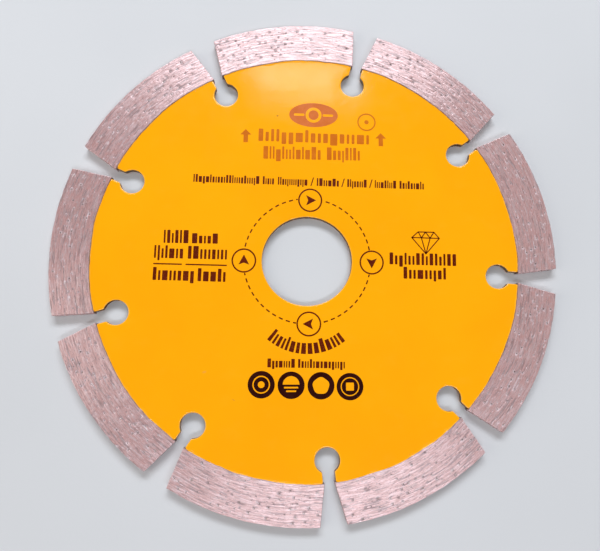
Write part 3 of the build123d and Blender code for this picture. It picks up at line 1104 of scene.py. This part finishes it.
# four solid discs, each with a plain shape of its own knocked out of it
discs = Print()
for i, (x, y) in enumerate(((-10.97, -29.97), (-3.85, -30.12), (3.29, -30.24), (10.24, -30.47))):
    discs.ellipse(x, y, 3.22, count=80)
    if i == 0:
        discs.ring(x, y, 1.95, 0.30)
        discs.ellipse(x, y, 0.80)
    elif i == 1:
        t = np.radians(np.linspace(0, 180, 30))
        discs.poly(np.stack([x + 2.0 * np.cos(t), y + 0.15 + 2.0 * np.sin(t)], 1))
        discs.box(x - 1.7, y - 0.75, x + 1.7, y - 0.35)
        discs.box(x - 1.2, y - 1.60, x + 1.2, y - 1.20)
    elif i == 2:
        t = np.radians(np.linspace(90, 450, 5, endpoint=False))
        pts = np.stack([2.35 * np.cos(t), 2.35 * np.sin(t)], 1)
        for _ in range(3):
            nxt_pts = np.roll(pts, -1, 0)
            pts = np.stack([pts * 0.8 + nxt_pts * 0.2, pts * 0.2 + nxt_pts * 0.8], 1).reshape(-1, 2)
        discs.poly(pts + (x, y))
    else:
        discs.ring(x, y, 2.1, 0.26)
        discs.box(x - 0.95, y - 0.95, x + 0.95, y + 0.95, 0.2)
discs.build("print_discs", INK_DEEP)

# outline of a cut stone
GEM = {
    "l": (26.25, 6.12), "r": (33.2, 5.94), "tl": (27.9, 7.56), "tr": (31.87, 7.50), "b": (29.7, 1.98),
    "ml": (28.68, 6.05), "mr": (30.88, 5.99), "tm": (29.75, 7.53),
}


def stroke(a, b, width):
    a, b = np.array(a, float), np.array(b, float)
    d = (b - a) / np.linalg.norm(b - a)
    n = np.array([-d[1], d[0]]) * width
    a, b = a - d * width * 0.6, b + d * width * 0.6
    return [a + n, b + n, b - n, a - n]


# the stone's strokes meet, so each is laid down as its own outline and joined
gem_verts, gem_faces = [], []
for i, (a, b) in enumerate((
    ("l", "tl"), ("tl", "tr"), ("tr", "r"), ("r", "b"), ("b", "l"), ("l", "r"),
    ("tl", "ml"), ("ml", "tm"), ("tm", "mr"), ("mr", "tr"), ("ml", "b"), ("mr", "b"),
)):
    one = Print()
    one.poly(stroke(GEM[a], GEM[b], 0.13))
    ob = one.build(f"gem_{i}", INK_DARK)
    base = len(gem_verts)
    gem_verts += [tuple(v.co) for v in ob.data.vertices]
    gem_faces += [[j + base for j in p.vertices] for p in ob.data.polygons]
    bpy.data.objects.remove(ob)
me = bpy.data.meshes.new("print_gem")
me.from_pydata(gem_verts, [], gem_faces)
me.update()
gem_ob = new_object("print_gem", me, INK_DARK)
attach(gem_ob, "root")

# faded group near the top
oval = Print()
oval.ellipse(1.75, 37.97, 6.25, 3.23, 96)
oval.ellipse(1.75, 37.97, 2.05)
oval.ellipse(1.75, 37.97, 1.30)
for x in (-1.95, 5.45):
    oval.box(x - 1.35, 37.66, x + 1.35, 38.28, 0.25)
oval.tilt(0, -1.0, 1.75, 37.97)
oval.build("print_oval", INK_OVAL)
faded = Print()
faded.ring(15.38, 36.28, 2.20, 0.34)
faded.ellipse(15.38, 36.28, 0.55)
for x, y in ((-15.5, 30.4), (18.97, 29.9)):
    faded.poly([
        (x, y + 3.5), (x + 1.38, y + 2.05), (x + 0.57, y + 2.05), (x + 0.57, y), (x - 0.57, y),
        (x - 0.57, y + 2.05), (x - 1.38, y + 2.05),
    ])
faded.line([(-12.3, 15.9)], 30.55, 3.3, 0.74, -1.05, 41)
faded.line([(-11.0, 3.5), (5.1, 13.5)], 26.05, 3.35, 0.46, -0.35, 42)
faded.build("print_faded", INK_FADED)

# ---------------------------------------------------------------- stage, light, camera
lowest = cad_box[0][2] if hasattr(cad_box[0], "__len__") else -0.00118
bpy.ops.mesh.primitive_plane_add(size=3.0, location=(0, 0, lowest - 0.00001))
floor = bpy.context.object
floor.name = "floor"
floor.data.materials.append(FLOOR)

scene = bpy.context.scene
world = bpy.data.worlds.new("studio")
world.use_nodes = True
scene.world = world
bg = world.node_tree.nodes["Background"]
bg.inputs["Color"].default_value = (0.97, 0.95, 0.96, 1)
bg.inputs["Strength"].default_value = 0.17


def area(name, location, target, size, size_y, power, colour=(1, 1, 1)):
    data = bpy.data.lights.new(name, "AREA")
    data.shape = "RECTANGLE"
    data.size, data.size_y = size, size_y
    data.energy = power
    data.color = colour
    ob = bpy.data.objects.new(name, data)
    scene.collection.objects.link(ob)
    direction = Vector(target) - Vector(location)
    ob.rotation_euler = direction.to_track_quat("-Z", "Y").to_euler()
    ob.location = location
    return ob


area("key", (0.01, 0.52, 0.50), (0, 0.0, 0), 0.60, 0.18, 4.85, (0.905, 0.955, 1.045))
area("glare", (0.022, 0.385, 0.60), (0, 0.0, 0), 0.15, 0.05, 0.22)
area("fill_left", (-0.55, -0.10, 0.30), (0, 0, 0), 0.35, 0.5, 1.26, (1.0, 0.945, 0.90))
area("fill_right", (0.55, -0.05, 0.30), (0, 0, 0), 0.35, 0.5, 0.19, (1.0, 0.92, 0.85))
area("front", (0.09, -0.36, 0.55), (0, 0, 0), 0.50, 0.12, 1.60, (0.945, 0.975, 1.07))

cam_data = bpy.data.cameras.new("camera")
cam_data.sensor_width = 36.0
cam_data.lens = 558.947 / 600 * 36
cam_data.clip_start = 0.001
cam_data.clip_end = 20
cam = bpy.data.objects.new("camera", cam_data)
scene.collection.objects.link(cam)
R = np.array([
    [0.999116991, -1.67e-7, 0.04201475],
    [0.00614091765, -0.989260237, -0.146035858],
    [0.0415635459, 0.146164916, -0.98838671],
])
t = np.array([1.69405702, -3.48489521, 138.66578282])
C = -R.T @ t * MM
m = Matrix.Identity(4)
for i in range(3):
    m[i][0], m[i][1], m[i][2], m[i][3] = R[0][i], -R[1][i], -R[2][i], C[i]
cam.matrix_world = m
scene.camera = cam
scene.view_settings.view_transform = "Standard"
scene.view_settings.look = "None"
